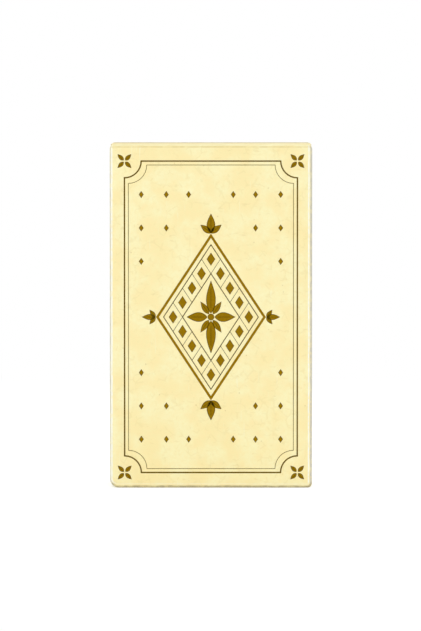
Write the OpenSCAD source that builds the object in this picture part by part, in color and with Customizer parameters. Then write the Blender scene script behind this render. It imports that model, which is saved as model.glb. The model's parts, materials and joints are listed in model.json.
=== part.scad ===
// A tarot deck in its tuck carton: 78 cards and a stapled guide booklet in a folded paperboard box.
// The carton stands upright with its front towards -Y and its origin under the middle of its base.
// Both lids fold on the front panel and tuck in at the back; the bottom closure mirrors the top one.

/* [Cards] */
// Width of one card
card_w = 70; // [60:0.5:80]
// Height of one card
card_h = 120; // [100:0.5:140]
// Thickness of one card
card_t = 0.29; // [0.25:0.01:0.35]
// Corner radius of one card
card_r = 4; // [2:0.5:8]
// Air between neighbouring cards
card_air = 0.01; // [0.01:0.01:0.03]

/* [Guide booklet] */
// How much narrower the booklet is than a card
guide_narrower = 6; // [2:0.5:20]
// How much shorter the booklet is than a card
guide_shorter = 8; // [2:0.5:30]
// Thickness of the closed pages
pages_t = 1; // [0.8:0.1:2]
// Thickness of the cover sheet
cover_t = 0.2; // [0.15:0.05:0.3]
// How far the pages stand back from the cover's edges
pages_inset = 0.5; // [0.3:0.1:2]
// Diameter of the staple wire
wire_d = 0.4; // [0.3:0.05:0.5]
// Length of a staple's back, from leg to leg
staple_len = 12; // [8:1:16]
// Length of a staple's legs
staple_leg = 2; // [1.5:0.25:3]
// Distance from the booklet's ends to the middle of each staple
staple_end = 26; // [15:1:32]
// Room round a staple leg in the paper
staple_room = 0.03; // [0.02:0.01:0.05]

/* [Carton board] */
// Thickness of the board
board_t = 0.4; // [0.3:0.05:0.5]
// Outer radius of the four upright folds
fold_r = 0.6; // [0.5:0.05:1]
// Radius of the corners of the front and back panels
corner_r = 1.6; // [1:0.1:3]
// Width of the glue flap
glue_w = 10; // [6:0.5:14]
// How far the glue flap stands back from the carton's ends
glue_end = 8; // [5:0.5:15]

/* [Closures] */
// Length of a tuck flap
tuck_len = 11; // [8:0.5:12]
// Lean of a tucked flap towards the cards
tuck_lean = 7; // [6:0.5:9]
// Radius of the corners of a tuck flap
tuck_r = 5; // [2:0.5:7]
// How far a lid stands back from the carton's sides
lid_inset = 0.7; // [0.5:0.1:1.2]
// How far a tuck flap stands back from the lid's sides
tuck_inset = 0.8; // [0.6:0.1:1.5]
// Length of a dust flap
dust_len = 18; // [12:0.5:24]
// Slope of the edge of a dust flap beside the lid's crease
dust_taper = 30; // [30:1:40]
// Corner cut of a dust flap beside the tuck flap
dust_cut = 5; // [2:0.5:6]

/* [Clearances] */
// Room beside the cards
side_clear = 0.7; // [0.3:0.05:1.2]
// Room in front of the cards
front_gap = 0.3; // [0.2:0.05:0.8]
// Room under the cards
seat_gap = 0.15; // [0.1:0.05:0.3]
// Room above the cards
headroom = 0.65; // [0.5:0.05:1]
// Room between the last card and the booklet
guide_air = 0.1; // [0.05:0.05:0.3]
// Gap at each crease, where the board bends
crease_gap = 0.1; // [0.08:0.01:0.15]
// Gap at a tuck flap's crease, which folds sharper than square as the lid opens
tuck_crease_gap = 0.4; // [0.35:0.05:0.6]
// How deep a lid lies below the carton's rim
recess = 0.15; // [0.1:0.05:0.3]
// Gap between a lid and the dust flaps behind it
flap_gap = 0.15; // [0.1:0.05:0.3]
// Gap between a tucked flap's crease and the wall behind it
tuck_gap = 0.3; // [0.25:0.05:0.5]
// Gap between the end of a tucked flap and the stack
tuck_clear = 0.3; // [0.2:0.05:0.6]
// Gap between a dust flap and the panels beside it
dust_clear = 0.6; // [0.5:0.05:1]

/* [Hidden] */
$fn = 64;
parchment = "#FDEFB5";
ivory = "#F6EFD9";

majors = [
    "fool", "magician", "high_priestess", "empress", "emperor", "hierophant", "lovers", "chariot",
    "strength", "hermit", "wheel_of_fortune", "justice", "hanged_man", "death", "temperance",
    "devil", "tower", "star", "moon", "sun", "judgement", "world"
];
suits = ["wands", "cups", "swords", "pentacles"];
courts = ["page", "knight", "queen", "king"];
pip_count = 10;
suit_count = pip_count + len(courts);
card_count = len(majors) + len(suits) * suit_count;

// The stack of cards and booklet, from front to back
card_pitch = card_t + card_air;
deck_t = card_count * card_pitch - card_air;
guide_t = pages_t + 2 * cover_t;
guide_w = card_w - guide_narrower;
guide_h = card_h - guide_shorter;
staple_reach = guide_h / 2 - staple_end;
stack_t = deck_t + guide_air + guide_t;

// The pocket behind the stack takes the leaning tuck flaps
tuck_pocket = tuck_gap + board_t + tuck_len * sin(tuck_lean) + tuck_clear;

// A closure is a lid, a gap and a dust flap
closure_h = recess + board_t + flap_gap + board_t;

// Inside and outside of the carton; the glue flap takes one board's thickness beside the cards
inner_w = card_w + 2 * side_clear + board_t;
inner_d = front_gap + stack_t + tuck_pocket;
carton_w = inner_w + 2 * board_t;
carton_d = inner_d + 2 * board_t;
carton_h = 2 * closure_h + seat_gap + card_h + headroom;

stack_x = -board_t / 2;
stack_y = front_gap - inner_d / 2;
stack_z = closure_h + seat_gap;

// Creases of the top closure
lid_crease_y = board_t / 2 - carton_d / 2;
lid_crease_z = carton_h - board_t / 2;
lid_z = lid_crease_z - recess;
tuck_crease_y = inner_d / 2 - tuck_gap - board_t / 2;
dust_crease_x = carton_w / 2 - board_t / 2;
dust_crease_z = carton_h - closure_h + board_t / 2;
crease_start = board_t / 2 + crease_gap;
tuck_start = board_t / 2 + tuck_crease_gap;

lid_w = carton_w - 2 * lid_inset;
tuck_w = lid_w - 2 * tuck_inset;

// Turns a piece of the top closure into its twin at the bottom
module mirrored_down() {
    translate([0, 0, carton_h]) mirror([0, 0, 1]) children();
}

// Stretches a side outline, drawn in Y and Z, across the width
module across(width) {
    rotate([90, 0, 90]) linear_extrude(width, center = true) children();
}

// Stretches a front outline, drawn in X and Z, through the whole depth
module through() {
    rotate([90, 0, 0]) linear_extrude(2 * carton_d, center = true) children();
}

// Rectangle with round corners
module round_rect(size, r) {
    square([size[0] - 2 * r, size[1]], center = true);
    square([size[0], size[1] - 2 * r], center = true);
    for (x = [-1, 1], y = [-1, 1]) {
        translate([x * (size[0] / 2 - r), y * (size[1] / 2 - r)]) circle(r);
    }
}

// Plan of one wall of a given width, mitred into its neighbours at both folds
module wall_plan(width, depth) {
    intersection() {
        round_rect([width, depth], fold_r);
        translate([0, -depth / 2]) polygon([
            [-width / 2, 0],
            [width / 2, 0],
            [width / 2 - board_t, board_t],
            [board_t - width / 2, board_t]
        ]);
    }
}

// Walls of the sleeve

// Front wall or back wall seen from the front, with round corners
module panel_outline() {
    translate([0, carton_h / 2]) round_rect([carton_w, carton_h], corner_r);
}

// Front wall, with a rounded crease for a lid at each end
module front_panel() {
    color(parchment) intersection() {
        linear_extrude(carton_h) wall_plan(carton_w, carton_d);
        across(carton_w) {
            for (z = [lid_crease_z, carton_h - lid_crease_z]) {
                translate([lid_crease_y, z]) circle(board_t / 2);
            }
            translate([-carton_d / 2, carton_h - lid_crease_z]) square([board_t, 2 * lid_crease_z - carton_h]);
        }
        through() panel_outline();
    }
}

// Back wall, cut at both ends
module back_panel() {
    color(parchment) intersection() {
        linear_extrude(carton_h) rotate(180) wall_plan(carton_w, carton_d);
        through() panel_outline();
    }
}

// Side wall on the left, with a rounded crease for a dust flap at each end
module side_wall() {
    intersection() {
        linear_extrude(carton_h) rotate(-90) wall_plan(carton_d, carton_w);
        through() {
            for (z = [dust_crease_z, carton_h - dust_crease_z]) {
                translate([-dust_crease_x, z]) circle(board_t / 2);
            }
            translate([-carton_w / 2, carton_h - dust_crease_z]) square([board_t, 2 * dust_crease_z - carton_h]);
        }
    }
}

module left_side_panel() {
    color(parchment) side_wall();
}

module right_side_panel() {
    color(parchment) mirror([1, 0, 0]) side_wall();
}

// Strip bonded inside the right side wall, with tapered ends
module glue_flap() {
    color(ivory) translate([inner_w / 2 - board_t, inner_d / 2, 0])
        rotate([90, 0, 90]) linear_extrude(board_t) polygon([
            [0, glue_end],
            [0, carton_h - glue_end],
            [-glue_w, carton_h - glue_end - glue_w / 2],
            [-glue_w, glue_end + glue_w / 2]
        ]);
}

// Closures, drawn as the top one

// Lid from its crease on the front wall to the rounded crease of its tuck flap
module closure_panel() {
    start_y = lid_crease_y + crease_start;
    across(lid_w) {
        translate([start_y, lid_z - board_t / 2]) square([tuck_crease_y - start_y, board_t]);
        translate([tuck_crease_y, lid_z]) circle(board_t / 2);
    }
}

// Flap that hangs from the lid and leans towards the stack, with two round corners
module tuck_flap() {
    straight_w = tuck_w - 2 * tuck_r;
    translate([0, tuck_crease_y, lid_z]) rotate([90 - tuck_lean, 0, 0])
        linear_extrude(board_t, center = true) {
            translate([-tuck_w / 2, tuck_r - tuck_len]) square([tuck_w, tuck_len - tuck_r - tuck_start]);
            translate([-straight_w / 2, -tuck_len]) square([straight_w, tuck_r]);
            for (x = [-1, 1]) {
                translate([x * straight_w / 2, tuck_r - tuck_len]) circle(tuck_r);
            }
        }
}

// Flap on the left side wall; its front edge clears the rising lid and its rear edge the tuck flap
module dust_flap() {
    front_y = dust_clear - inner_d / 2;
    rear_y = tuck_crease_y - board_t - dust_clear;
    translate([-dust_crease_x, 0, dust_crease_z - board_t / 2]) linear_extrude(board_t) polygon([
        [crease_start, front_y],
        [dust_len, front_y + dust_len * tan(dust_taper)],
        [dust_len, rear_y - dust_cut],
        [dust_len - dust_cut, rear_y],
        [crease_start, rear_y]
    ]);
}

module top_closure_panel() {
    color(parchment) closure_panel();
}

module top_tuck_flap() {
    color(parchment) tuck_flap();
}

module top_left_dust_flap() {
    color(ivory) dust_flap();
}

module top_right_dust_flap() {
    color(ivory) mirror([1, 0, 0]) dust_flap();
}

module bottom_closure_panel() {
    color(parchment) mirrored_down() closure_panel();
}

module bottom_tuck_flap() {
    color(parchment) mirrored_down() tuck_flap();
}

module bottom_left_dust_flap() {
    color(ivory) mirrored_down() dust_flap();
}

module bottom_right_dust_flap() {
    color(ivory) mirrored_down() mirror([1, 0, 0]) dust_flap();
}

// Guide booklet, behind the cards, with its spine on the left

// Moves to the middle of the booklet's spine, outside
module at_spine() {
    translate([stack_x - guide_w / 2, stack_y + stack_t - guide_t / 2, stack_z + guide_h / 2]) children();
}

// Two staples; each lies along the spine and its two legs go into the fold
module staples(wire) {
    for (z = [-staple_reach, staple_reach]) {
        translate([-wire_d / 2, 0, z]) {
            cylinder(d = wire, h = staple_len, center = true);
            for (end = [-1, 1]) {
                translate([0, 0, end * (staple_len - wire_d) / 2]) rotate([0, 90, 0])
                    cylinder(d = wire, h = staple_leg + wire_d / 2 + (wire - wire_d));
            }
        }
    }
}

module guide_cover() {
    color(parchment) difference() {
        at_spine() translate([0, -guide_t / 2, -guide_h / 2]) cube([guide_w, guide_t, guide_h]);
        at_spine() translate([cover_t, -pages_t / 2, -guide_h]) cube([guide_w, pages_t, 2 * guide_h]);
        at_spine() staples(wire_d + 2 * staple_room);
    }
}

module guide_pages() {
    pages_w = guide_w - cover_t - pages_inset;
    pages_h = guide_h - 2 * pages_inset;
    color("white") difference() {
        at_spine() translate([cover_t, -pages_t / 2, -pages_h / 2]) cube([pages_w, pages_t, pages_h]);
        at_spine() staples(wire_d + 2 * staple_room);
    }
}

module guide_staples() {
    color("silver") at_spine() staples(wire_d);
}

// Cards, counted from the front

module card(place) {
    color(ivory) translate([stack_x, stack_y + (place + 1) * card_pitch - card_air, stack_z + card_h / 2])
        rotate([90, 0, 0]) linear_extrude(card_t) round_rect([card_w, card_h], card_r);
}

module number_cards(suit) {
    for (pip = [0 : pip_count - 1]) {
        card(len(majors) + suit * suit_count + pip);
    }
}

front_panel();
back_panel();
left_side_panel();
right_side_panel();
glue_flap();
top_closure_panel();
top_tuck_flap();
top_left_dust_flap();
top_right_dust_flap();
bottom_closure_panel();
bottom_tuck_flap();
bottom_left_dust_flap();
bottom_right_dust_flap();
guide_cover();
guide_pages();
guide_staples();
for (place = [0 : len(majors) - 1]) {
    card(place);
}
for (suit = [0 : len(suits) - 1]) {
    number_cards(suit);
}
for (suit = [0 : len(suits) - 1], rank = [0 : len(courts) - 1]) {
    place = len(majors) + suit * suit_count + pip_count + rank;
    card(place);
}
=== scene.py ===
"""Looks of a tarot deck: a folded, printed tuck carton of board round 78 cards and a booklet."""
import json
import math
import bmesh
import bpy
from mathutils import Matrix, Vector


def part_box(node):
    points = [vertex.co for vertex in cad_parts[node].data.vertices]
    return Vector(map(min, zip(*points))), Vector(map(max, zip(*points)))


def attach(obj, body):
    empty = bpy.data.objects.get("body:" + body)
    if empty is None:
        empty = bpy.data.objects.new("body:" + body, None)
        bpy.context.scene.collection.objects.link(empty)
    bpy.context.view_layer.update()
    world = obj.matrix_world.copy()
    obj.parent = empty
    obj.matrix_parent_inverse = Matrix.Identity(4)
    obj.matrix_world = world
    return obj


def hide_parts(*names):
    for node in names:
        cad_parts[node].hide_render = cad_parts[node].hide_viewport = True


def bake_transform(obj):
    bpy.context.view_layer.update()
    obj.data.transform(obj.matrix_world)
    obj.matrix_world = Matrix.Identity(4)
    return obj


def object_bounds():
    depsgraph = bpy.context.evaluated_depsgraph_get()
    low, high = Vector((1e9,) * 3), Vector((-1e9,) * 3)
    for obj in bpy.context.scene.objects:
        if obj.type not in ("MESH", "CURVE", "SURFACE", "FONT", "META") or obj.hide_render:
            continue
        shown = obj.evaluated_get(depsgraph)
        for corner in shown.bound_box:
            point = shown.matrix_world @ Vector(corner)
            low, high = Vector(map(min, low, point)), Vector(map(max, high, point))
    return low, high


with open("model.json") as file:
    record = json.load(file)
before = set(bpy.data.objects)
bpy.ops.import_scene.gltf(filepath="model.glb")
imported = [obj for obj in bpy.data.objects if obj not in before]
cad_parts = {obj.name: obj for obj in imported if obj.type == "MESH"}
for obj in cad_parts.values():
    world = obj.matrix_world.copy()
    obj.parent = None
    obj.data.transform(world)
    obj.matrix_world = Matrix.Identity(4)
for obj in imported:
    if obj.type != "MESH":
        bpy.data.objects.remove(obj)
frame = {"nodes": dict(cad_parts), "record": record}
cad_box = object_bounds()

MM = 0.001
ALONG_X = Vector((1, 0, 0))
ALONG_Y = Vector((0, 1, 0))
ALONG_Z = Vector((0, 0, 1))

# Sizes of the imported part
half_w, half_d, tall = cad_box[1]
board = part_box("front_panel")[1].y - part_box("front_panel")[0].y
lid_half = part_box("top_closure_panel")[1].x
lid_middle = (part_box("top_closure_panel")[0].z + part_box("top_closure_panel")[1].z) / 2
lid_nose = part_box("top_closure_panel")[1].y
tuck_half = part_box("top_tuck_flap")[1].x
tuck_drop = lid_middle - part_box("top_tuck_flap")[0].z
dust_low, dust_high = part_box("top_left_dust_flap")
dust_middle = (dust_low.z + dust_high.z) / 2
glue_low, glue_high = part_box("glue_flap")
guide_low, guide_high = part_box("guide_cover")
pages_low, pages_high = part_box("guide_pages")
card_low, card_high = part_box("card_fool")

# Sizes that only the looks need
fold_r = 1.0 * MM
crease_r = 0.6 * MM
top_crease_r = 0.5 * MM
bottom_crease_r = 0.9 * MM
tuck_corner = 5 * MM
tuck_lean = 7
dust_taper = 30
dust_cut = 5 * MM
card_air = 0.01 * MM
bend_steps = 8

# Worn ends and corners, to the left (-1) and to the right (1)
lid_ends = {-1: half_w - 0.65 * MM, 1: half_w - 0.35 * MM}
top_corners = {-1: 1.3 * MM, 1: 1.5 * MM}
top_climb = 0.2
foot_corners = {-1: 3.4 * MM, 1: 1.6 * MM}
foot_climb = 0.06
back_corner = 1.4 * MM
corner_reach = 8 * MM
deepest_wear = 2.4 * MM

# Middle lines of the board, and where its bends start
wall_x = half_w - board / 2
wall_y = half_d - board / 2
rim_middle = tall - board / 2
fold_middle = fold_r - board / 2
crease_middle = crease_r - board / 2
dust_start = dust_middle - crease_middle
top_start = rim_middle - (top_crease_r - board / 2)
bottom_start = tall - rim_middle + bottom_crease_r - board / 2
crease_half = wall_x - fold_middle
under_lid = tall - lid_middle + board / 2 + 0.05 * MM


# Materials

def srgb(red, green, blue):
    """Colour as it is seen, in steps of 255, turned into light."""
    def light(step):
        share = step / 255
        return share / 12.92 if share <= 0.04045 else ((share + 0.055) / 1.055) ** 2.4
    return (light(red), light(green), light(blue), 1)


class Shader:
    """A material's nodes, added one call at a time."""

    def __init__(self, name, roughness, specular):
        self.material = bpy.data.materials.new(name)
        self.material.use_nodes = True
        self.tree = self.material.node_tree
        self.surface = self.tree.nodes["Principled BSDF"]
        self.surface.inputs["Roughness"].default_value = roughness
        self.surface.inputs["Specular IOR Level"].default_value = specular

    def put(self, socket, value):
        if isinstance(value, bpy.types.NodeSocket):
            self.tree.links.new(value, socket)
        else:
            socket.default_value = value

    def add(self, kind, inputs, **settings):
        node = self.tree.nodes.new(kind)
        for name, value in settings.items():
            setattr(node, name, value)
        for name, value in inputs.items():
            self.put(node.inputs[name], value)
        return node

    def math(self, operation, first, second=0.0):
        return self.add("ShaderNodeMath", {0: first, 1: second}, operation=operation).outputs[0]

    def slant(self, first, second):
        """Length of the slant over two sides at right angles."""
        squares = [self.math("MULTIPLY", side, side) for side in (first, second)]
        return self.math("SQRT", self.math("ADD", *squares))

    def rest(self):
        """Where a point of the sheet lies while the carton is closed."""
        return self.add("ShaderNodeAttribute", {}, attribute_name="rest").outputs["Vector"]

    def own(self, output="Object"):
        return self.add("ShaderNodeTexCoord", {}).outputs[output]

    def axes(self, vector):
        return self.add("ShaderNodeSeparateXYZ", {0: vector}).outputs

    def stretch(self, vector, scale, turn=(0, 0, 0)):
        inputs = {"Vector": vector, "Scale": scale, "Rotation": turn}
        return self.add("ShaderNodeMapping", inputs).outputs[0]

    def noise(self, vector, size, detail=2.0, roughness=0.5):
        inputs = {"Vector": vector, "Scale": 1 / size, "Detail": detail, "Roughness": roughness}
        return self.add("ShaderNodeTexNoise", inputs).outputs["Fac"]

    def between(self, value, low, high):
        """0 up to low, 1 from high on, and a smooth step between; low may be the larger."""
        inputs = {"Value": value, "From Min": low, "From Max": high}
        return self.add("ShaderNodeMapRange", inputs, interpolation_type="SMOOTHSTEP").outputs[0]

    def ramp(self, value, low, high, first, last):
        """From first to last, evenly, as the value goes from low to high."""
        inputs = {"Value": value, "From Min": low, "From Max": high, "To Min": first, "To Max": last}
        return self.add("ShaderNodeMapRange", inputs).outputs[0]

    def line(self, value, place, width):
        """1 where the value is within half a width of the place, with a soft edge."""
        away = self.math("ABSOLUTE", self.math("SUBTRACT", value, place))
        return self.between(away, width * 0.6, width * 0.4)

    def mix(self, share, first, second):
        node = self.add("ShaderNodeMix", {0: share, 6: first, 7: second}, data_type="RGBA")
        return node.outputs[2]

    def tint(self, tone, mask, strength, colour):
        """The tone, with as much of another colour as mask and strength say."""
        return self.mix(self.math("MULTIPLY", mask, strength), tone, colour)

    def colour(self, value):
        self.put(self.surface.inputs["Base Color"], value)

    def relief(self, height, depth):
        bump = self.add("ShaderNodeBump", {"Height": height, "Strength": 0.6, "Distance": depth})
        self.put(self.surface.inputs["Normal"], bump.outputs[0])


def specks(shader, vector, size, share):
    """Sparse small marks: a share of the cells of that size holds one."""
    cell = shader.add("ShaderNodeTexVoronoi", {"Vector": vector, "Scale": 1 / size})
    chosen = shader.between(shader.axes(cell.outputs["Color"])[0], 1 - share, 1 - share + 0.02)
    return shader.math("MULTIPLY", chosen, shader.between(cell.outputs["Distance"], 0.14, 0.04))


def parchment():
    """Printed outside of the board: mottled paper tone, specks, scratches, wear with painted shade and a
    painted highlight along the folds, and painted shade at the lid's crease and far end.
    """
    shader = Shader("parchment_print", 0.55, 0.02)
    rest = shader.rest()
    x, y, z = shader.axes(rest)
    on_front = shader.between(y, -0.9 * half_d, -0.96 * half_d)
    tone = paper_tone(shader, rest)
    tone = rim_wear_and_painted_light(shader, tone, rest, (x, y, z), on_front)
    tone = painted_crease_and_lid_end_shade(shader, tone, rest, (x, y, z), on_front)
    shader.colour(tone)
    shader.relief(shader.noise(rest, 0.35 * MM, 4, 0.6), 0.02 * MM)
    return shader.material


def paper_tone(shader, rest):
    """Cream in drifting shades, with grain, hair cracks, smudges, specks and scratches."""
    drift = shader.between(shader.noise(rest, 8 * MM, 3, 0.55), 0.36, 0.64)
    tone = shader.mix(drift, srgb(254, 237, 178), srgb(254, 246, 196))
    grain = shader.between(shader.noise(rest, 1.3 * MM, 5, 0.6), 0.3, 0.7)
    tone = shader.tint(tone, grain, 0.6, srgb(252, 239, 180))
    cells = {"Vector": rest, "Scale": 1 / (3.4 * MM)}
    cell = shader.add("ShaderNodeTexVoronoi", cells, feature="DISTANCE_TO_EDGE")
    here = shader.between(shader.noise(rest, 2.6 * MM, 3), 0.5, 0.62)
    crack = shader.math("MULTIPLY", shader.between(cell.outputs["Distance"], 0.09, 0.02), here)
    tone = shader.tint(tone, crack, 0.22, srgb(234, 216, 150))
    wide = shader.stretch(rest, (0.5, 1, 1.3))
    smudge = shader.between(shader.noise(wide, 2.2 * MM, 4, 0.65), 0.6, 0.76)
    tone = shader.tint(tone, smudge, 0.4, srgb(232, 214, 148))
    tone = shader.tint(tone, specks(shader, rest, 2.6 * MM, 0.14), 0.45, srgb(206, 184, 118))
    slanted = shader.stretch(rest, (1, 1, 0.06), (0.0, 0.5, 0.0))
    scratch = shader.between(shader.noise(slanted, 0.7 * MM, 2), 0.68, 0.76)
    return shader.tint(tone, scratch, 0.4, srgb(255, 252, 222))


def rim_wear_and_painted_light(shader, tone, rest, place, on_front):
    """Grey rim along the upright folds, rubbed wear with painted shade where the round fold turns from
    the light, darker round the foot of the front with painted shade of the bottom crease; a pale line
    beside it, a painted highlight on the fold.
    The rim is wider and the line thinner on the right. Both follow the round corners of the foot.
    Both are fainter at the back."""
    x, y, z = place
    side = shader.math("SUBTRACT", half_w, shader.math("ABSOLUTE", x))
    deep = shader.math("SUBTRACT", half_d, shader.math("ABSOLUTE", y))
    fold = shader.math("MAXIMUM", side, shader.math("MULTIPLY", deep, 0.7))
    radius = shader.ramp(x, -half_w, half_w, foot_corners[-1], foot_corners[1])
    beside = shader.math("MAXIMUM", shader.math("SUBTRACT", radius, fold), 0.0)
    below = shader.math("MAXIMUM", shader.math("SUBTRACT", radius, z), 0.0)
    below = shader.math("MULTIPLY", below, on_front)
    inside = shader.math("SUBTRACT", radius, shader.slant(beside, below))
    # Band at the foot of the front: painted shade of the bottom crease where it meets the floor
    low = shader.math("MULTIPLY", shader.between(z, 2.4 * MM, 0.9 * MM), on_front)
    fold_width = shader.ramp(x, -half_w, half_w, 0.4 * MM, 0.78 * MM)
    width = shader.ramp(low, 0, 1, fold_width, 0.84 * MM)
    wavy = shader.ramp(shader.noise(rest, 4 * MM, 2), 0.2, 0.8, -0.15, 0.15)
    reach = shader.math("ADD", shader.math("DIVIDE", inside, width), wavy)
    broken = shader.between(shader.noise(rest, 1.6 * MM, 3), 0.34, 0.56)
    on_fold = shader.math("SUBTRACT", 1.0, low)
    strength = shader.ramp(y, -0.9 * half_d, -0.5 * half_d, 0.9, 0.6)
    beyond = shader.math("SUBTRACT", reach, shader.ramp(x, -half_w, half_w, 1.75, 1.58))
    spread = shader.ramp(x, -half_w, half_w, 1.5, 0.58)
    pale = shader.line(shader.math("DIVIDE", beyond, spread), 0, 1)
    pale = shader.math("MULTIPLY", pale, shader.ramp(broken, 0, 1, 0.55, 1.0))
    pale = shader.math("MULTIPLY", pale, shader.math("MULTIPLY", strength, 1.1))
    # Pale line: a painted highlight along the round fold
    tone = shader.tint(tone, pale, on_fold, srgb(255, 255, 240))
    rim = shader.math("MULTIPLY", shader.between(reach, 1.15, 0.8), shader.ramp(broken, 0, 1, 0.6, 1.0))
    # Rim colour: rubbed wear with painted shade of the fold turning from the light; the darker foot
    # colour is painted shade of the bottom crease
    worn_and_shaded_rim_colour = shader.mix(low, srgb(210, 207, 194), srgb(192, 180, 142))
    return shader.tint(tone, rim, strength, worn_and_shaded_rim_colour)


def painted_crease_and_lid_end_shade(shader, tone, rest, place, on_front):
    """Lid: a faint darker line under its crease at the top of the front, painted shade of the crease, and
    painted shade along its far end, where the gap behind the lid lies in shadow.
    """
    y, z = place[1:]
    broken = shader.between(shader.noise(rest, 2.5 * MM, 3), 0.3, 0.6)
    # Faint darker line under the top crease: painted shade of the crease
    fold = shader.math("MULTIPLY", shader.line(z, tall - 0.42 * MM, 0.6 * MM), on_front)
    fold = shader.math("MULTIPLY", fold, shader.ramp(broken, 0, 1, 0.3, 0.6))
    tone = shader.mix(fold, tone, srgb(226, 208, 146))
    before_back = shader.between(y, half_d, wall_y)
    above_flaps = shader.between(z, tall - 2 * board, tall - board)
    on_lid = shader.math("MULTIPLY", before_back, above_flaps)
    # Darker band along the lid's far end: painted shade of the gap behind the lid
    end = shader.math("MULTIPLY", shader.between(y, lid_nose - 5 * MM, lid_nose), on_lid)
    return shader.tint(tone, end, 0.85, srgb(204, 190, 144))


def plain_board():
    """Unprinted inside of the board: ivory with short fibres, and painted shade along the back wall's top
    edge, where it stands above the lid.
    """
    shader = Shader("plain_board_inside", 0.85, 0.2)
    rest = shader.rest()
    fibre = shader.noise(shader.stretch(rest, (1, 1, 0.25)), 0.6 * MM, 4, 0.6)
    cloud = shader.noise(rest, 8 * MM, 2)
    tone = shader.mix(shader.between(fibre, 0.3, 0.7), srgb(233, 225, 201), srgb(247, 241, 222))
    tone = shader.tint(tone, cloud, 0.3, srgb(238, 228, 196))
    tone = shader.tint(tone, specks(shader, rest, 1.8 * MM, 0.2), 0.5, srgb(184, 168, 132))
    x, y, z = shader.axes(rest)
    outer = shader.ramp(shader.math("ABSOLUTE", x), 0.2 * half_w, 0.7 * half_w, 0.45, 0.8)
    # Band at the top of the back wall's inside: painted shade where it stands in the gap above the lid
    rim = shader.math("MULTIPLY", shader.between(z, tall - 1.2 * MM, tall - 0.5 * MM), outer)
    rim = shader.math("MULTIPLY", rim, shader.between(y, lid_nose, lid_nose + 0.2 * MM))
    tone = shader.mix(rim, tone, srgb(238, 226, 176))
    shader.colour(tone)
    shader.relief(fibre, 0.03 * MM)
    return shader.material


def cut_board():
    """Cut edge of the board: greyer pulp in broken layers."""
    shader = Shader("cut_board_edge", 0.9, 0.1)
    rest = shader.rest()
    pulp = shader.noise(rest, 0.18 * MM, 4, 0.7)
    tone = shader.mix(shader.between(pulp, 0.3, 0.7), srgb(216, 207, 172), srgb(246, 238, 208))
    grime = shader.between(shader.noise(rest, 3 * MM, 3), 0.45, 0.7)
    shader.colour(shader.tint(tone, grime, 0.4, srgb(184, 170, 132)))
    shader.relief(pulp, 0.05 * MM)
    return shader.material


def ink(name, colour, thin_colour, roughness):
    """Printed ink that lets a little of the paper's grain through."""
    shader = Shader(name, roughness, 0.03)
    own = shader.own()
    grain = shader.noise(own, 0.5 * MM, 4, 0.6)
    cloud = shader.noise(own, 4 * MM, 2)
    tone = shader.mix(shader.between(grain, 0.45, 0.8), colour, thin_colour)
    shader.colour(shader.tint(tone, cloud, 0.4, colour))
    shader.relief(grain, 0.01 * MM)
    return shader.material


def card_stock():
    """Playing-card board: framed ivory face, latticed gold back, and edges with a line of painted shade
    between cards.
    """
    shader = Shader("card_stock_printed", 0.45, 0.35)
    own = shader.own()
    place = shader.axes(own)
    facing = shader.axes(shader.own("Normal"))[1]
    grain = shader.noise(own, 0.8 * MM, 4, 0.6)
    face, back = card_prints(shader, place, grain)
    tone = shader.mix(shader.between(facing, 0.4, 0.6), card_edges(shader, place), back)
    shader.colour(shader.mix(shader.between(facing, -0.4, -0.6), tone, face))
    shader.relief(grain, 0.015 * MM)
    return shader.material


def card_prints(shader, place, grain):
    """Colours of a card's face and back: two frame lines round nested lozenges, fewer on the face."""
    x, z = place[0], place[2]
    middle = (card_low + card_high) / 2
    across = shader.math("ABSOLUTE", shader.math("SUBTRACT", x, middle.x))
    upward = shader.math("ABSOLUTE", shader.math("SUBTRACT", z, middle.z))
    border = shader.math(
        "MINIMUM",
        shader.math("SUBTRACT", card_high.x - middle.x, across),
        shader.math("SUBTRACT", card_high.z - middle.z, upward),
    )
    broad, fine = 4 * MM, 5.4 * MM
    frame_lines = shader.math(
        "MAXIMUM", shader.line(border, broad, 0.7 * MM), shader.line(border, fine, 0.3 * MM)
    )
    inside = shader.between(border, fine, fine + 0.1 * MM)
    tilted = shader.math(
        "ADD", shader.math("MULTIPLY", across, 3.0), shader.math("MULTIPLY", upward, 2.0)
    )
    step = 12 * MM
    near = shader.math("ABSOLUTE", shader.math("SUBTRACT", shader.math("MODULO", tilted, step), step / 2))
    nested = shader.math("MULTIPLY", inside, shader.between(near, 0.9 * MM, 0.5 * MM))
    few = shader.between(tilted, 62 * MM, 61 * MM)
    face_lines = shader.math("MAXIMUM", frame_lines, shader.math("MULTIPLY", nested, few))
    back_lines = shader.math("MAXIMUM", frame_lines, nested)
    paper = shader.mix(shader.between(grain, 0.3, 0.7), srgb(246, 236, 205), srgb(253, 246, 222))
    face = shader.mix(face_lines, paper, srgb(146, 112, 20))
    back = shader.mix(back_lines, srgb(240, 221, 158), srgb(150, 116, 12))
    return face, back


def card_edges(shader, place):
    """Colour of the stack's edges: each card has its own tone, with a dark line of painted shade between
    cards.
    """
    pitch = card_high.y - card_low.y + card_air
    count = shader.math("DIVIDE", shader.math("SUBTRACT", place[1], card_low.y), pitch)
    whole = shader.math("FLOOR", count)
    part = shader.math("SUBTRACT", count, whole)
    chance = shader.add("ShaderNodeTexWhiteNoise", {"W": whole}, noise_dimensions="1D").outputs["Value"]
    edge = shader.mix(chance, srgb(226, 214, 178), srgb(250, 243, 221))
    # Dark line between cards: painted shade in the gaps of the stack
    away = shader.math("ABSOLUTE", shader.math("SUBTRACT", part, 0.5))
    return shader.tint(edge, shader.between(away, 0.3, 0.5), 0.7, srgb(150, 130, 86))


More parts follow.
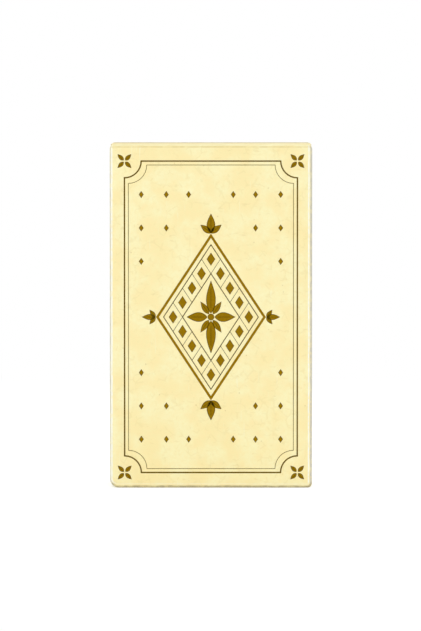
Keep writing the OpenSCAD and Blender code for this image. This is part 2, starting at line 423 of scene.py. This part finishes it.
def booklet_paper(name, pale, deep, fibre_size):
    """Uncoated paper with a soft fibre."""
    shader = Shader(name, 0.8, 0.2)
    rest = shader.rest()
    fibre = shader.noise(rest, fibre_size, 5, 0.65)
    tone = shader.mix(shader.between(fibre, 0.3, 0.7), deep, pale)
    shader.colour(shader.tint(tone, specks(shader, rest, 2 * MM, 0.15), 0.4, deep))
    shader.relief(fibre, 0.02 * MM)
    return shader.material


def staple_steel():
    """Drawn wire with fine lines along it."""
    shader = Shader("staple_wire", 0.35, 0.5)
    own = shader.own()
    drawn = shader.noise(shader.stretch(own, (1, 1, 0.05)), 0.08 * MM, 3)
    shader.colour(shader.mix(drawn, srgb(150, 152, 156), srgb(208, 210, 212)))
    shader.surface.inputs["Metallic"].default_value = 1.0
    shader.relief(drawn, 0.01 * MM)
    return shader.material


sheet_materials = [parchment(), plain_board(), cut_board()]
gold_ink = ink("gold_ink", srgb(146, 111, 3), srgb(160, 127, 20), 0.45)
umber_ink = ink("umber_ink", srgb(98, 76, 0), srgb(124, 100, 14), 0.5)
cover_paper = booklet_paper("cover_paper", srgb(250, 238, 190), srgb(240, 222, 164), 0.9 * MM)
page_paper = booklet_paper("page_paper", srgb(248, 245, 234), srgb(232, 226, 208), 0.5 * MM)

OUTSIDE, INSIDE, EDGE = 0, 1, 2
INK = 0


# Folded sheets

def fold_path(start, heading, moves):
    """Middle line of a sheet that runs straight and turns right: places and outward directions.
    Each move is the places along a straight run, the turn after it in degrees, and its radius."""
    place, ahead = Vector(start), Vector(heading)
    path = []
    for distances, turn, radius in moves:
        out = Vector((-ahead.y, ahead.x))
        path += [(place + ahead * distance, out) for distance in distances]
        centre = place + ahead * distances[-1] - out * radius
        for step in range(1, bend_steps + 1 if turn else 1):
            turned = Matrix.Rotation(-math.radians(turn) * step / bend_steps, 2) @ out
            path.append((centre + turned * radius, turned))
        place, out = path[-1]
        ahead = Vector((out.y, -out.x))
    return path


def graded(length, step=6 * MM):
    """Places along a run, close together near its ends."""
    near = [0.3 * MM, 0.6 * MM, 1 * MM, 1.5 * MM, 2 * MM, 2.5 * MM, 3 * MM, 4 * MM]
    count = max(1, round((length - 2 * near[-1]) / step))
    middle = [near[-1] + (length - 2 * near[-1]) * i / count for i in range(1, count)]
    return near + middle + [length - distance for distance in reversed(near)] + [length]


def sheet_shell(rows, across, spread, thickness):
    """Closed skin of a bent sheet; a row is its middle place, outward direction, low end and high end."""
    count, width = len(rows), len(spread)
    corners = []
    for side in (0.5, -0.5):
        for middle, out, low, high in rows:
            for share in spread:
                corners.append(middle + out * (side * thickness) + across * (low + (high - low) * share))
    under = count * width
    faces = []
    for row in range(count - 1):
        for column in range(width - 1):
            first = row * width + column
            loop = (first, first + width, first + width + 1, first + 1)
            faces.append((loop, OUTSIDE))
            faces.append((tuple(under + corner for corner in reversed(loop)), INSIDE))
    rim = [row * width for row in range(count)]
    rim += [(count - 1) * width + column for column in range(1, width)]
    rim += [row * width + width - 1 for row in range(count - 2, -1, -1)]
    rim += list(range(width - 2, 0, -1))
    for here, there in zip(rim, rim[1:] + rim[:1]):
        faces.append(((there, here, under + here, under + there), EDGE))
    return corners, faces


def make_piece(name, shells, materials):
    """Mesh object of one or more closed shells, with each point's place at rest kept for its material."""
    mesh = bpy.data.meshes.new(name)
    build = bmesh.new()
    for corners, faces in shells:
        points = [build.verts.new(corner) for corner in corners]
        for loop, kind in faces:
            face = build.faces.new([points[i] for i in loop])
            face.material_index = kind
            face.smooth = True
    bmesh.ops.recalc_face_normals(build, faces=build.faces)
    build.to_mesh(mesh)
    build.free()
    for material in materials:
        mesh.materials.append(material)
    rest = mesh.attributes.new("rest", "FLOAT_VECTOR", "POINT")
    rest.data.foreach_set("vector", [value for vertex in mesh.vertices for value in vertex.co])
    mesh.set_sharp_from_angle(angle=math.radians(35))
    piece = bpy.data.objects.new(name, mesh)
    bpy.context.scene.collection.objects.link(piece)
    return piece


def moved(shell, place):
    """The same shell with every corner put elsewhere."""
    corners, faces = shell
    return [place(corner) for corner in corners], faces


def as_drawn(point):
    return point.copy()


def mirrored_down(point):
    """From the top closure to its twin at the bottom."""
    return Vector((point.x, point.y, tall - point.z))


def mirrored(point):
    return Vector((-point.x, point.y, point.z))


def bend_ends(path, turn):
    """Two places on either side of a bend at the start of a path, inside its thickness."""
    first, last = path[0][0], path[bend_steps][0]
    inward = (last - first).normalized() * (board / 2 * math.sin(math.radians(turn / 2)))
    return first + inward, last - inward


def eased(share):
    """Smooth step from 0 to 1."""
    share = min(1.0, max(0.0, share))
    return share * share * (3 - 2 * share)


def round_off(away, radius):
    """Rise of a round corner at a distance in from the end."""
    short = max(0.0, radius - max(0.0, away))
    return radius - math.sqrt(radius * radius - short * short)


def worn(point):
    """Pushes the board in where the front's corners are worn round; the wear fades towards the back."""
    side = -1 if point.x < 0 else 1
    behind = point.y + half_d
    top = round_off(tall - point.z + top_climb * behind, top_corners[side])
    foot = round_off(point.z + foot_climb * behind, foot_corners[side])
    push = min(deepest_wear, max(top, foot)) * eased(1 - (half_w - abs(point.x)) / corner_reach)
    return Vector((point.x - side * push, point.y, point.z))


def board_piece(name, shell):
    """Printed sheet of board with worn corners."""
    piece = make_piece(name, [moved(shell, worn)], sheet_materials)
    return piece


# Sleeve: one strip from the right side wall round the front, left and back to the glue flap

def sleeve_ends(place, out):
    """Lowest and highest point of the sleeve at a place on its middle line.
    A side wall is lower along its dust flaps, and the corners at the back are round."""
    if dust_low.y - 0.01 * MM < place.y < dust_high.y + 0.2 * MM:
        return tall - dust_start, dust_start
    if place.y > 0:
        away = half_w - abs(place.x + out.x * board / 2)
        corner = min(under_lid, round_off(away, back_corner))
        return corner, tall - corner
    return bottom_start, top_start


def sleeve():
    side_run = wall_y - fold_middle + half_d - 0.1 * MM
    front_run = 2 * (wall_x - fold_middle)
    left_run = 2 * (wall_y - fold_middle)
    glue_x = glue_high.x - board / 2
    back_run = wall_x - fold_middle + glue_x - fold_middle
    glue_run = wall_y - fold_middle - glue_low.y
    path = fold_path(
        (wall_x, half_d - 0.1 * MM),
        (0, -1),
        [
            ([0] + graded(side_run), 90, fold_middle),
            (graded(front_run), 90, fold_middle),
            (graded(left_run), 90, fold_middle),
            (graded(back_run), 90, fold_middle),
            ([0.05 * MM, glue_run], 0, 0),
        ],
    )
    rows = []
    for place, out in path:
        low, high = sleeve_ends(place, out)
        rows.append((Vector((place.x, place.y, 0)), Vector((out.x, out.y, 0)), low, high))
    taper = 5 * MM
    for row, inset in ((-2, 0), (-1, taper)):
        middle, out = rows[row][:2]
        rows[row] = (middle, out, glue_low.z + inset, glue_high.z - inset)
    spread = [0] + [distance / tall for distance in graded(tall, 5 * MM)]
    piece = board_piece("carton_sleeve", sheet_shell(rows, ALONG_Z, spread, board))
    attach(piece, "carton")
    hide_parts("front_panel", "back_panel", "left_side_panel", "right_side_panel", "glue_flap")


# Closures, drawn as the top one and mirrored for the bottom one

across_spread = [0] + [distance / (2 * lid_half) for distance in graded(2 * lid_half)]


def round_plan(point):
    """Lets the ends of a lid's crease follow the upright folds."""
    beyond = min(fold_r, max(0.0, abs(point.x) - crease_half))
    behind = (point.y + half_d) / (3 * MM)
    back = (fold_r - math.sqrt(fold_r * fold_r - beyond * beyond)) * (1 - eased(behind))
    return Vector((point.x, point.y + back, point.z))


def closure_panel(end, place, crease):
    """Lid with the crease that joins it to the front wall; the crease stands a little above the lid."""
    radius = crease - board / 2
    run = lid_nose - crease_r - (radius - wall_y)
    path = fold_path((-wall_y, rim_middle - radius), (0, 1), [([0], 90, radius), (graded(run), 0, 0)])
    rows = []
    for spot, out in path:
        ease = eased((spot.x + wall_y - radius) / (3 * MM))
        sink = (rim_middle - lid_middle) * ease
        low, high = [side * (half_w * (1 - ease) + lid_ends[side] * ease) for side in (-1, 1)]
        rows.append((Vector((0, spot.x, spot.y - sink)), Vector((0, out.x, out.y)), low, high))
    shell = moved(sheet_shell(rows, ALONG_X, across_spread, board), round_plan)
    piece = board_piece(end + "_lid_sheet", moved(shell, place))
    start, stop = [place(Vector((0, spot.x, spot.y))) for spot in bend_ends(path, 90)]
    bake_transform(piece)
    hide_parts(end + "_closure_panel")


def tuck_flap(end, place):
    """Tuck flap with the crease that joins it to the lid, and two round corners."""
    turn = 90 + tuck_lean
    start_y = lid_nose - crease_r
    run = (tuck_drop - crease_middle) / math.cos(math.radians(tuck_lean))
    straight = [0.3 * MM, 1 * MM, 3 * MM, run - tuck_corner]
    rounded = [run - tuck_corner * (1 - math.sin(math.radians(5 * i))) for i in range(1, 19)]
    moves = [([0], turn, crease_middle), (straight + rounded, 0, 0)]
    path = fold_path((start_y, lid_middle), (1, 0), moves)
    rows = []
    for count, (spot, out) in enumerate(path):
        half = tuck_half
        step = count - bend_steps - len(straight)
        if step > 0:
            half -= tuck_corner * (1 - math.cos(math.radians(5 * step)))
        rows.append((Vector((0, spot.x, spot.y)), Vector((0, out.x, out.y)), -half, half))
    shell = moved(sheet_shell(rows, ALONG_X, across_spread, board), place)
    piece = board_piece(end + "_tuck_sheet", shell)
    start, stop = [place(Vector((0, spot.x, spot.y))) for spot in bend_ends(path, turn)]
    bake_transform(piece)
    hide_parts(end + "_tuck_flap")


def dust_flap(end, side, place):
    """Dust flap with the crease that joins it to the side wall; one edge slopes and one corner is cut."""
    length = dust_high.x + wall_x
    run = length - crease_middle
    stations = [0.5 * MM, 1.5 * MM, 3 * MM, 6 * MM, 9 * MM, run - dust_cut, run - dust_cut / 2, run]
    path = fold_path((-wall_x, dust_start), (0, 1), [([0], 90, crease_middle), (stations, 0, 0)])
    rows = []
    for spot, out in path:
        reach = spot.x + wall_x
        low = dust_low.y + max(0, reach - crease_r) * math.tan(math.radians(dust_taper))
        high = dust_high.y - max(0, reach - length + dust_cut)
        rows.append((Vector((spot.x, 0, spot.y)), Vector((out.x, 0, out.y)), low, high))
    spread = [i / 8 for i in range(9)]
    shell = moved(sheet_shell(rows, ALONG_Y, spread, board), place)
    piece = board_piece(f"{end}_{side}_dust_sheet", shell)
    # The bend goes by height alone, so that wear, which pushes sideways, can't part it from the wall
    bend_heights = (dust_start, dust_middle - board / 2)
    start, stop = [place(Vector((-wall_x, 0, height))) for height in bend_heights]
    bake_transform(piece)
    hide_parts(f"{end}_{side}_dust_flap")


def closures():
    ends = (("top", as_drawn, top_crease_r), ("bottom", mirrored_down, bottom_crease_r))
    for end, place, crease in ends:
        closure_panel(end, place, crease)
        tuck_flap(end, place)
        dust_flap(end, "left", place)
        dust_flap(end, "right", lambda point, place=place: mirrored(place(point)))


# Ornament, in millimetres from the middle of a face: lozenges, leaves and lines

gold_height = 0.02
line_height = 0.024
ink_root = -0.01


def lozenge(x, y, half_x, half_y):
    return [(x + half_x, y), (x, y + half_y), (x - half_x, y), (x, y - half_y)]


class Print:
    """Gold areas and dark lines on one face of the carton."""

    def __init__(self, name, origin, right, up):
        self.name, self.origin, self.right, self.up = name, origin, right, up
        self.out = right.cross(up)
        self.gold, self.lines = [], []

    def spot(self, point, height):
        return self.origin + (self.right * point[0] + self.up * point[1] + self.out * height) * MM

    def prism(self, shapes, strips, height, closed):
        """Low solid on the face, from loops of points that run side by side."""
        count = len(strips[0])
        corners = [self.spot(p, h) for h in (height, ink_root) for loop in strips for p in loop]
        under = count * len(strips)
        faces = []
        ends = count if closed else count - 1
        for i in range(ends):
            j = (i + 1) % count
            top = (i, j, count + j, count + i)
            faces.append((top, INK))
            faces.append((tuple(under + corner for corner in reversed(top)), INK))
            faces.append(((j, i, under + i, under + j), INK))
            faces.append(((count + i, count + j, under + count + j, under + count + i), INK))
        if not closed:
            for i in (0, count - 1):
                faces.append(((i, count + i, under + count + i, under + i), INK))
        shapes.append((corners, faces))

    def stroke(self, points, width, closed=False, gold=False):
        """Line of even width through the points."""
        points = [Vector(point) for point in points]
        count = len(points)
        left, right = [], []
        for i, point in enumerate(points):
            before = points[i - 1] if closed or i > 0 else point
            after = points[(i + 1) % count] if closed or i < count - 1 else point
            came, goes = point - before, after - point
            came = (came if came.length > 0 else goes).normalized()
            goes = (goes if goes.length > 0 else came).normalized()
            middle = (came + goes).normalized()
            reach = width / 2 / max(0.35, middle.dot(came))
            left.append(point + Vector((-middle.y, middle.x)) * reach)
            right.append(point - Vector((-middle.y, middle.x)) * reach)
        if gold:
            self.prism(self.gold, [left, right], gold_height, closed)
        else:
            self.prism(self.lines, [left, right], line_height, closed)

    def area(self, loop, rim=0.3):
        """Gold shape with a dark rim."""
        count = len(loop)
        corners = [self.spot(p, h) for h in (gold_height, ink_root) for p in loop]
        faces = [(tuple(range(count)), INK), (tuple(range(2 * count - 1, count - 1, -1)), INK)]
        for i in range(count):
            j = (i + 1) % count
            faces.append(((j, i, count + i, count + j), INK))
        self.gold.append((corners, faces))
        if rim:
            self.stroke(loop, rim, closed=True)

    def disc(self, x, y, radius):
        turns = [2 * math.pi * i / 20 for i in range(20)]
        self.area([(x + radius * math.cos(turn), y + radius * math.sin(turn)) for turn in turns], 0.2)

    def leaf(self, x, y, angle, length, width):
        """Pointed leaf from its stalk end, with a vein."""
        turn = Matrix.Rotation(math.radians(angle), 2)
        stalk = Vector((x, y))
        shares = [i / 14 for i in range(15)]
        swell = [width / 2 * math.sin(math.pi * share ** 0.8) for share in shares]
        upper = [stalk + turn @ Vector((length * share, half)) for share, half in zip(shares, swell)]
        lower = [stalk + turn @ Vector((length * share, -half)) for share, half in zip(shares, swell)]
        self.area(upper + lower[-2:0:-1], 0.22)
        self.stroke([stalk + turn @ Vector((length * share, 0)) for share in (0.16, 0.78)], 0.2)

    def flower(self, x, y, angles, start, length, width):
        """Leaves that point away from a middle, each from a short way off it."""
        for angle in angles:
            turn = math.radians(angle)
            self.leaf(x + start * math.cos(turn), y + start * math.sin(turn), angle, length, width)

    def spray(self, x, y, angle, length):
        """Three leaves from one stalk."""
        self.leaf(x, y, angle, length, length * 0.42)
        for side in (-1, 1):
            self.leaf(x, y, angle + side * 52, length * 0.68, length * 0.3)

    def border(self, half_x, half_y, hollow, width):
        """Frame line with a hollow corner at each end."""
        loop = []
        for quarter, (side_x, side_y) in enumerate(((1, 1), (-1, 1), (-1, -1), (1, -1))):
            for i in range(9):
                turn = math.radians(270 + 90 * quarter - 11.25 * i)
                loop.append((
                    side_x * half_x + hollow * math.cos(turn),
                    side_y * half_y + hollow * math.sin(turn),
                ))
        self.stroke(loop, width, closed=True)

    def double_border(self, half_x, half_y):
        """Broad frame line with a fine one inside it."""
        inset = 1.4
        self.border(half_x, half_y, 6, 0.5)
        self.border(half_x - inset, half_y - inset, 6.6, 0.2)

    def medallion(self, half_x, half_y):
        """Lattice of lozenges round a flower, with a spray at each point."""
        cell_x, cell_y = half_x / 5, half_y / 5
        self.stroke(lozenge(0, 0, half_x + 2.2, half_y + 3.2), 0.9, closed=True, gold=True)
        self.stroke(lozenge(0, 0, half_x, half_y), 0.3, closed=True)
        self.stroke(lozenge(0, 0, 3 * cell_x, 3 * cell_y), 0.3, closed=True)
        for i in range(-2, 3):
            for j in range(-2, 3):
                if max(abs(i), abs(j)) == 2:
                    x, y = (i - j) * cell_x, (i + j) * cell_y
                    self.stroke(lozenge(x, y, cell_x, cell_y), 0.16, closed=True)
                    self.area(lozenge(x, y, cell_x * 0.42, cell_y * 0.42), 0.2)
        self.flower(0, 0, (0, 180), 1.4, cell_x * 2.1, cell_x * 0.95)
        self.flower(0, 0, (90, 270), 1.4, cell_y * 2.2, cell_x * 0.95)
        self.flower(0, 0, (56, 124, 236, 304), 1.4, cell_x * 1.5, cell_x * 0.55)
        self.disc(0, 0, 1.1)
        for side in (-1, 1):
            self.spray(0, side * (half_y + 4.2), side * 90, half_y * 0.26)
            self.spray(side * (half_x + 3), 0, 90 - side * 90, half_x * 0.27)

    def finish(self):
        inks = (("gold", self.gold, gold_ink), ("lines", self.lines, umber_ink))
        for ink_name, shapes, material in inks:
            if shapes:
                piece = make_piece(f"{self.name}_print_{ink_name}", shapes, [material])
                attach(piece, "carton")


def front_print():
    middle = Vector((0, -half_d, tall / 2))
    ornament = Print("front", middle, ALONG_X, ALONG_Z)
    half_x, half_y = 31, 56
    ornament.double_border(half_x, half_y)
    ornament.medallion(17, 26)
    for x in (-1, 1):
        for y in (-1, 1):
            ornament.flower(x * half_x, y * half_y, (45, 135, 225, 315), 0.5, 2.8, 1.3)
            for across, upward in ((25, 20), (25, 32), (25, 44), (16, 32), (16, 44), (8, 44)):
                ornament.area(lozenge(x * across, y * upward, 0.75, 1.1), 0.2)
    ornament.finish()


def back_print():
    middle = Vector((0, half_d, tall / 2))
    ornament = Print("back", middle, -ALONG_X, ALONG_Z)
    ornament.double_border(31, 48)
    ornament.medallion(11, 17)
    ornament.finish()


def side_prints():
    for name, side in (("left", -1), ("right", 1)):
        middle = Vector((side * half_w, 0, tall / 2))
        ornament = Print(name, middle, ALONG_Y * side, ALONG_Z)
        ornament.border(11, 56, 4, 0.4)
        spacing = 10
        for step in range(-4, 5):
            ornament.area(lozenge(0, step * spacing, 1.5, 2.2), 0.25)
            ornament.stroke(lozenge(0, step * spacing, 3.0, 4.4), 0.22, closed=True)
        ornament.finish()


# Cards keep their solids and get a printed material

def cards():
    stock = card_stock()
    for node in frame["record"]["behaviour"]["bodies"]["deck"]:
        if not node.startswith("guide_"):
            frame["nodes"][node].material_slots[0].material = stock


# Guide booklet: a folded cover, nested leaves and two staples

def booklet():
    whole_t = guide_high.y - guide_low.y
    cover_t = pages_low.y - guide_low.y
    middle_y = (guide_low.y + guide_high.y) / 2

    def folded(thickness, radius, free_x, low, high):
        run = free_x - guide_low.x - whole_t / 2
        edge = [0] + [run * i / 6 for i in range(1, 7)]
        path = fold_path((free_x, middle_y - radius), (-1, 0), [(edge, 180, radius), (edge[1:], 0, 0)])
        rows = [(Vector((p.x, p.y, 0)), Vector((out.x, out.y, 0)), low, high) for p, out in path]
        return sheet_shell(rows, ALONG_Z, [i / 10 for i in range(11)], thickness)

    cover = [folded(cover_t, (whole_t - cover_t) / 2, guide_high.x, guide_low.z, guide_high.z)]
    piece = make_piece("booklet_cover", cover, [cover_paper, cover_paper, page_paper])
    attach(piece, "deck")
    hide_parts("guide_cover")
    leaf_count = 5
    leaf_t = (pages_high.y - pages_low.y) / 2 / leaf_count
    leaves = []
    for leaf in range(leaf_count):
        radius = leaf_t * (leaf + 0.5)
        creep = 0.15 * MM * (leaf_count - leaf)
        free_x = pages_high.x - 0.8 * MM + creep
        leaves.append(folded(leaf_t * 0.9, radius, free_x, pages_low.z, pages_high.z))
    piece = make_piece("booklet_leaves", leaves, [page_paper, page_paper, page_paper])
    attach(piece, "deck")
    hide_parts("guide_pages")


def staples():
    frame["nodes"]["guide_staples"].material_slots[0].material = staple_steel()


# Light, floor and camera

def put_up(name, data, place, target):
    """Lamp or camera at a place, turned to a target."""
    holder = bpy.data.objects.new(name, data)
    holder.location = place
    holder.rotation_euler = (target - Vector(place)).to_track_quat("-Z", "Y").to_euler()
    bpy.context.scene.collection.objects.link(holder)
    return holder


def surroundings():
    """White all round to the eye, with less light on the carton than it shows."""
    world = bpy.data.worlds.new("studio")
    bpy.context.scene.world = world
    world.use_nodes = True
    nodes, links = world.node_tree.nodes, world.node_tree.links
    background = nodes["Background"]
    background.inputs["Color"].default_value = (1, 1, 1, 1)
    rays = nodes.new("ShaderNodeLightPath")
    mirrored_too = nodes.new("ShaderNodeMath")
    mirrored_too.operation = "MAXIMUM"
    links.new(rays.outputs["Is Camera Ray"], mirrored_too.inputs[0])
    links.new(rays.outputs["Is Glossy Ray"], mirrored_too.inputs[1])
    seen = nodes.new("ShaderNodeMath")
    seen.operation = "MAXIMUM"
    links.new(mirrored_too.outputs[0], seen.inputs[0])
    links.new(rays.outputs["Is Transmission Ray"], seen.inputs[1])
    level = nodes.new("ShaderNodeMapRange")
    level.inputs["To Min"].default_value = 0.55
    level.inputs["To Max"].default_value = 1.0
    links.new(seen.outputs[0], level.inputs["Value"])
    links.new(level.outputs[0], background.inputs["Strength"])


def lamps():
    for name, place, size, power in (
        ("key", (-0.9, -1.6, 0.2), 1.2, 14.4),
        ("fill", (1.1, -1.4, 0.15), 1.4, 6.6),
        ("top", (0.1, 0.3, 1.7), 1.4, 9.5),
        ("rear", (0.6, 1.6, 0.5), 1.4, 5.0),
    ):
        lamp = bpy.data.lights.new(name, "AREA")
        lamp.size = size
        lamp.energy = power
        put_up(name, lamp, place, Vector((0, 0, tall / 2)))


def ground():
    reach = 12
    level = -0.02 * MM
    corners = [(x * reach, y * reach, level) for x, y in ((-1, -1), (1, -1), (1, 1), (-1, 1))]
    mesh = bpy.data.meshes.new("floor")
    mesh.from_pydata(corners, [], [(0, 1, 2, 3)])
    mesh.materials.append(floor_material())
    floor = bpy.data.objects.new("floor", mesh)
    bpy.context.scene.collection.objects.link(floor)


def floor_material():
    """White paper floor: it keeps the shadow near the carton and turns to plain white further off.
    It is clear from below and in a window under the carton, so that light reaches the underside."""
    shader = Shader("floor_paper", 0.9, 0.0)
    shader.colour((0.9, 0.9, 0.9, 1))
    x, y = shader.axes(shader.own())[:2]
    far = shader.slant(x, y)
    rays = shader.add("ShaderNodeLightPath", {})
    seen = shader.math("MAXIMUM", rays.outputs["Is Camera Ray"], rays.outputs["Is Glossy Ray"])
    seen = shader.math("MAXIMUM", seen, rays.outputs["Is Transmission Ray"])
    shader.surface.inputs["Emission Color"].default_value = (1, 1, 1, 1)
    shader.put(shader.surface.inputs["Emission Strength"], shader.math("MULTIPLY", seen, 0.44))
    plain = shader.add("ShaderNodeEmission", {"Strength": 1.0})
    white = shader.math("MULTIPLY", seen, shader.between(far, 0.15, 0.5))
    lit = shader.surface.outputs[0]
    paper = shader.add("ShaderNodeMixShader", {0: white, 1: lit, 2: plain.outputs[0]})
    behind = shader.add("ShaderNodeNewGeometry", {}).outputs["Backfacing"]
    under_x = shader.between(shader.math("ABSOLUTE", x), half_w - 2 * MM, half_w - 3 * MM)
    under_y = shader.between(shader.math("ABSOLUTE", y), half_d - 2 * MM, half_d - 3 * MM)
    open_share = shader.math("MAXIMUM", behind, shader.math("MULTIPLY", under_x, under_y))
    clear = shader.add("ShaderNodeBsdfTransparent", {})
    both = shader.add("ShaderNodeMixShader", {0: open_share, 1: paper.outputs[0], 2: clear.outputs[0]})
    shader.put(shader.tree.nodes["Material Output"].inputs["Surface"], both.outputs[0])
    return shader.material


def camera():
    """Long lens, square on the front and a little above it."""
    distance, rise = 2.4, 0.105
    picture_rows, rows_per_mm = 631, 2.787
    frame_height = picture_rows / rows_per_mm * MM
    place = Vector((0, -half_d - distance, tall + rise))
    target = Vector((-0.16 * MM, -half_d, 62.05 * MM))
    lens = bpy.data.cameras.new("camera")
    lens.sensor_width = 36
    lens.lens = lens.sensor_width * (target - place).length / frame_height
    bpy.context.scene.camera = put_up("camera", lens, place, target)


camera()
surroundings()
lamps()
ground()
sleeve()
closures()
front_print()
back_print()
side_prints()
cards()
booklet()
staples()

bpy.context.scene.view_settings.view_transform = "Standard"
